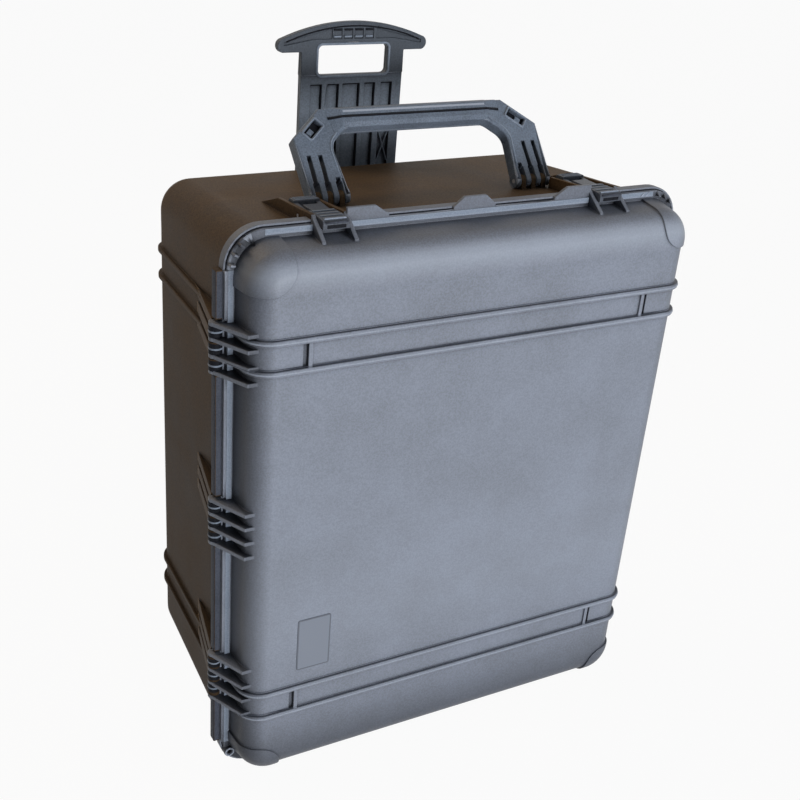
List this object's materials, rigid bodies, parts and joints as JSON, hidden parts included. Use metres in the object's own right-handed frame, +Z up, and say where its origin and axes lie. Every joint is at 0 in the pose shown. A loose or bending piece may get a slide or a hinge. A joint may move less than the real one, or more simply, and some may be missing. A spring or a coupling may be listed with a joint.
{
  "type": "wheeled transport case",
  "caption": "Upright wheeled hard case with a side-hinged lid, draw latches, fold-down carry handles, a sliding trolley handle and ridge bands round both shells.",
  "frame": {"origin": "on the floor, below the middle of the case standing on its wheel end", "axes": "+Z up, +Y from the lid face to the back, +X from the hinge side to the opening side"},
  "size_m": [0.742, 0.456, 1.031],
  "materials": {
    "shell_plastic": "fine leather-like grain, semi-matte charcoal",
    "handle_plastic": "satin black, fine grain",
    "latch_plastic": "satin black",
    "steel": "stainless, brushed",
    "seal_rubber": "smooth black",
    "tyre_rubber": "dull black",
    "hub_plastic": "satin",
    "label": "satin grey, bare"
  },
  "bodies": {
    "base": {"base_shell": "shell_plastic", "hinge_pins": "steel", "trolley_channel": "shell_plastic", "channel_screws": "steel", "wheel_axles": "steel", "pressure_valve": "handle_plastic", "valve_seal": "seal_rubber", "top_handle_pins": "steel", "side_handle_pins": "steel", "latch_lever_pins": "steel"},
    "lid": {"lid_shell": "shell_plastic", "lid_seal": "seal_rubber", "label_plate": "label"},
    "trolley": {"trolley_front": "handle_plastic", "trolley_back": "handle_plastic", "trolley_screws": "steel", "trolley_shoes": "hub_plastic"},
    "top_handle": {"top_handle": "handle_plastic"},
    "side_handle": {"side_handle": "handle_plastic"},
    "wheel_left": {"tyre_left": "tyre_rubber", "hub_left": "hub_plastic", "bearings_left": "steel"},
    "wheel_right": {"tyre_right": "tyre_rubber", "hub_right": "hub_plastic", "bearings_right": "steel"},
    "lever_top_left": {"latch_lever_top_left": "latch_plastic", "latch_hook_pin_top_left": "steel"},
    "hook_top_left": {"latch_hook_top_left": "latch_plastic"},
    "lever_top_right": {"latch_lever_top_right": "latch_plastic", "latch_hook_pin_top_right": "steel"},
    "hook_top_right": {"latch_hook_top_right": "latch_plastic"},
    "lever_side_upper": {"latch_lever_side_upper": "latch_plastic", "latch_hook_pin_side_upper": "steel"},
    "hook_side_upper": {"latch_hook_side_upper": "latch_plastic"},
    "lever_side_lower": {"latch_lever_side_lower": "latch_plastic", "latch_hook_pin_side_lower": "steel"},
    "hook_side_lower": {"latch_hook_side_lower": "latch_plastic"}
  },
  "joints": [
    {"name": "lid_hinge", "type": "hinge", "parent": "base", "child": "lid", "pos_m": [-0.362, -0.154, 0.4245], "axis": [0, 0, -1], "range_deg": [0, 110]},
    {"name": "trolley_slide", "type": "slide", "parent": "base", "child": "trolley", "axis": [0, 0, 1], "range_m": [-0.15, 0.12]},
    {"name": "top_handle_swing", "type": "hinge", "parent": "base", "child": "top_handle", "pos_m": [0, -0.059, 0.844], "axis": [-1, 0, 0], "range_deg": [-51, 49]},
    {"name": "side_handle_swing", "type": "hinge", "parent": "base", "child": "side_handle", "pos_m": [0.356, -0.059, 0.4245], "axis": [0, 0, -1], "range_deg": [0, 100]},
    {"name": "wheel_left_spin", "type": "hinge", "parent": "base", "child": "wheel_left", "pos_m": [-0.266, 0.188, 0.04], "axis": [1, 0, 0], "continuous": true},
    {"name": "wheel_right_spin", "type": "hinge", "parent": "base", "child": "wheel_right", "pos_m": [0.266, 0.188, 0.04], "axis": [1, 0, 0], "continuous": true},
    {"name": "lever_top_left_throw", "type": "hinge", "parent": "base", "child": "lever_top_left", "pos_m": [-0.2134, -0.122, 0.844], "axis": [1, 0, 0], "range_deg": [0, 95]},
    {"name": "hook_top_left_lift", "type": "hinge", "parent": "lever_top_left", "child": "hook_top_left", "pos_m": [-0.2134, -0.108, 0.844], "axis": [1, 0, 0], "range_deg": [-95, 0]},
    {"name": "lever_top_right_throw", "type": "hinge", "parent": "base", "child": "lever_top_right", "pos_m": [0.2134, -0.122, 0.844], "axis": [1, 0, 0], "range_deg": [0, 95]},
    {"name": "hook_top_right_lift", "type": "hinge", "parent": "lever_top_right", "child": "hook_top_right", "pos_m": [0.2134, -0.108, 0.844], "axis": [1, 0, 0], "range_deg": [-95, 0]},
    {"name": "lever_side_upper_throw", "type": "hinge", "parent": "base", "child": "lever_side_upper", "pos_m": [0.35, -0.122, 0.697], "axis": [0, 0, -1], "range_deg": [0, 95]},
    {"name": "hook_side_upper_lift", "type": "hinge", "parent": "lever_side_upper", "child": "hook_side_upper", "pos_m": [0.35, -0.108, 0.697], "axis": [0, 0, -1], "range_deg": [-95, 0]},
    {"name": "lever_side_lower_throw", "type": "hinge", "parent": "base", "child": "lever_side_lower", "pos_m": [0.35, -0.122, 0.152], "axis": [0, 0, -1], "range_deg": [0, 95]},
    {"name": "hook_side_lower_lift", "type": "hinge", "parent": "lever_side_lower", "child": "hook_side_lower", "pos_m": [0.35, -0.108, 0.152], "axis": [0, 0, -1], "range_deg": [-95, 0]}
  ],
  "couplings": [
    {"joint": "hook_top_left_lift", "follows": "lever_top_left_throw", "ratio": -1},
    {"joint": "hook_top_right_lift", "follows": "lever_top_right_throw", "ratio": -1},
    {"joint": "hook_side_upper_lift", "follows": "lever_side_upper_throw", "ratio": -1},
    {"joint": "hook_side_lower_lift", "follows": "lever_side_lower_throw", "ratio": -1}
  ]
}
